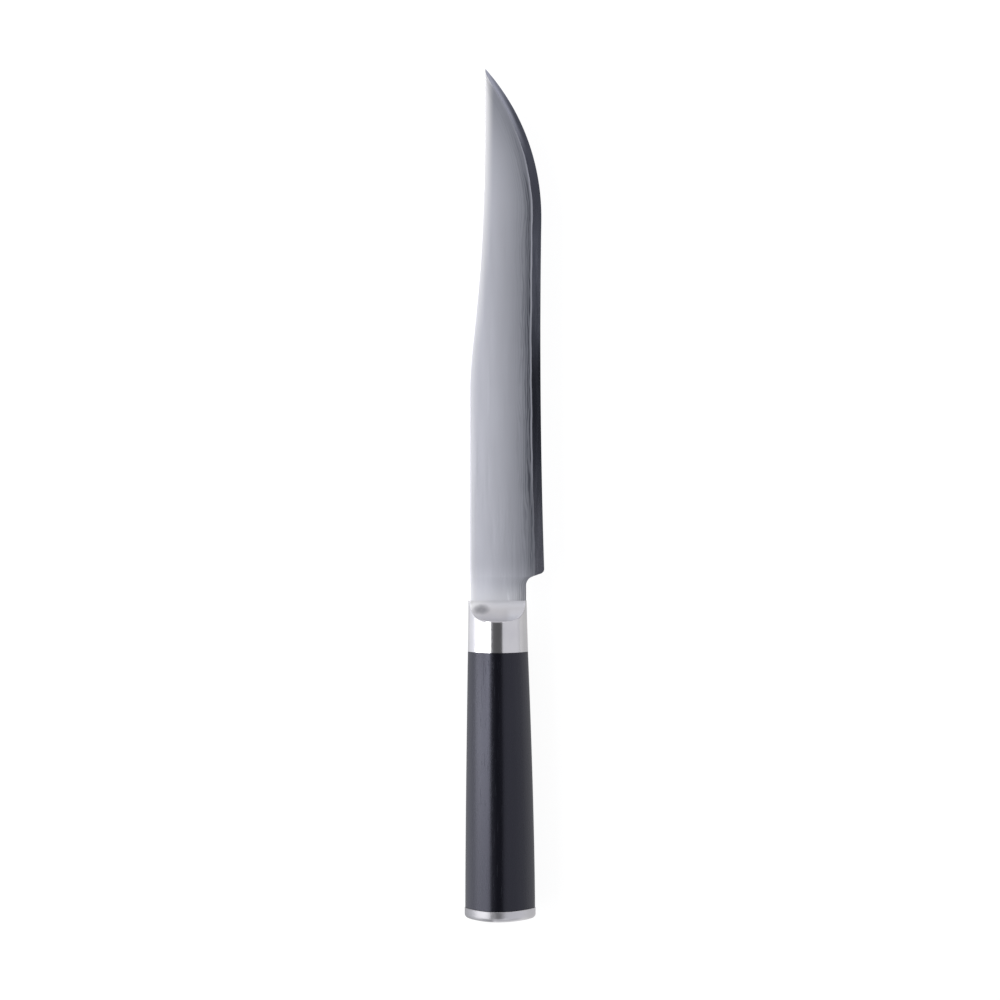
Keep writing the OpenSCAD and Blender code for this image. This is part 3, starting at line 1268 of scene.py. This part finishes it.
@dataclass
class Tang:
    """What the handle hides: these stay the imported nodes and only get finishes."""

    bar: HiddenSteel = HiddenSteel("plain steel", (0.5, 0.5, 0.52), 0.45)
    weld: HiddenSteel = HiddenSteel("weld steel", (0.4, 0.4, 0.41), 0.5)
    bedding: SetResin = SetResin()

    def build(self) -> Pieces:
        """Gives each hidden node its finish.

        Returns:
            The nodes.
        """
        bar, weld, bedding = self.bar.make(), self.weld.make(), self.bedding.make()
        finishes = {"tang_bar": bar, "tang_weld": weld, "cap_weld": weld, "tang_bedding": bedding}
        for name, material in finishes.items():
            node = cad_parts[name]
            node.data.materials.clear()
            node.data.materials.append(material)
        return [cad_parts[name] for name in finishes]


@dataclass(frozen=True)
class Panel:
    """A flat light box that hangs beside the knife and faces it.

    Bearing is in degrees from +X, upper and lower end in degrees from straight up, lengths in m.
    """

    name: str
    bearing: float
    upper: float
    lower: float
    width: float
    radiance: float
    colour: Colour = (0.965, 0.97, 1.0)
    shift: float = 0.0
    reach: float = 1.4

    def hang(self) -> None:
        """Makes the light."""
        turn = math.radians(self.bearing)
        outward = Vector((math.cos(turn), math.sin(turn), 0.0))
        straight_up = Vector((0.0, 0.0, 1.0))
        ends = []
        for lean in (math.radians(self.upper), math.radians(self.lower)):
            ends.append((outward * math.sin(lean) + straight_up * math.cos(lean)) * self.reach)
        rise = ends[0] - ends[1]
        up = rise.normalized()
        along = Vector((-outward.y, outward.x, 0.0))
        data = bpy.data.lights.new(self.name, "AREA")
        data.shape = "RECTANGLE"
        data.size = self.width
        data.size_y = rise.length
        data.energy = self.radiance * math.pi * data.size * data.size_y
        data.color = self.colour
        light = bpy.data.objects.new(self.name, data)
        bpy.context.scene.collection.objects.link(light)
        hung = Matrix((along, up, along.cross(up))).transposed().to_4x4()
        hung.translation = (ends[0] + ends[1]) / 2 + along * self.shift
        light.matrix_world = hung


@dataclass
class Studio:
    """White floor, light boxes all round and the camera straight above.

    Camera height, view width and half the floor are in m, the point in view in mm like the knife.
    """

    seat: Seat
    camera_height: float = 0.84
    sensor_mm: float = 36.0
    view_width: float = 0.382
    view_x: float = 0.79
    view_y: float = 38.4
    floor_half: float = 12.0
    paper: WhitePaper = WhitePaper()
    room_tone: Colour = (0.115, 0.115, 0.12)
    panels: tuple[Panel, ...] = (
        Panel("left light box above the blade", 180.0, 38.2, 54.0, 1.3, 4.9, shift=-0.58),
        Panel("left light box beside the blade", 180.0, 54.0, 89.0, 1.3, 0.6, shift=-0.58),
        Panel("left light box beside the bolster", 180.0, 41.0, 89.0, 0.18, 6.6, shift=0.16),
        Panel("left light box beside the grip", 180.0, 41.0, 89.0, 1.0, 2.8, shift=0.75),
        Panel("right light box", 0.0, 26.0, 89.0, 2.6, 0.78, (0.94, 0.945, 1.0)),
        Panel("far light box", 90.0, 12.0, 89.0, 1.7, 0.65),
        Panel("near light box", 270.0, 30.0, 89.0, 1.7, 0.6),
    )

    def floor(self) -> None:
        """Lays the floor under the knife."""
        half = self.floor_half
        mesh = bpy.data.meshes.new("floor")
        corners = [(-half, -half, 0), (half, -half, 0), (half, half, 0), (-half, half, 0)]
        mesh.from_pydata(corners, [], [(0, 1, 2, 3)])
        mesh.materials.append(self.paper.make())
        floor = bpy.data.objects.new("floor", mesh)
        bpy.context.scene.collection.objects.link(floor)

    def camera(self) -> None:
        """Sets the camera above the knife, looking straight down."""
        data = bpy.data.cameras.new("camera")
        data.sensor_width = self.sensor_mm
        data.lens = data.sensor_width * self.camera_height / self.view_width
        camera = bpy.data.objects.new("camera", data)
        bpy.context.scene.collection.objects.link(camera)
        camera.location = self.seat.place((self.view_x, self.view_y, self.camera_height / MM))
        bpy.context.scene.camera = camera

    def build(self) -> None:
        """Builds the whole studio."""
        self.floor()
        for panel in self.panels:
            panel.hang()
        world = bpy.data.worlds.new("room")
        world.use_nodes = True
        background = world.node_tree.nodes["Background"]
        background.inputs["Color"].default_value = (*self.room_tone, 1.0)
        bpy.context.scene.world = world
        bpy.context.scene.view_settings.view_transform = "Standard"
        self.camera()


def main() -> None:
    """Builds every piece in order."""
    logging.basicConfig(level=logging.INFO, format="%(message)s")
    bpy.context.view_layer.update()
    seat = Seat.from_frame()
    Studio(seat).build()
    log.info("built the studio")
    for assembly in (Blade(seat), Bolster(seat), Grip(seat), EndCap(seat), Tang()):
        for piece in assembly.build():
            log.info("dressed %s, %d faces", piece.name, len(piece.data.polygons))


if __name__ == "__main__":
    main()
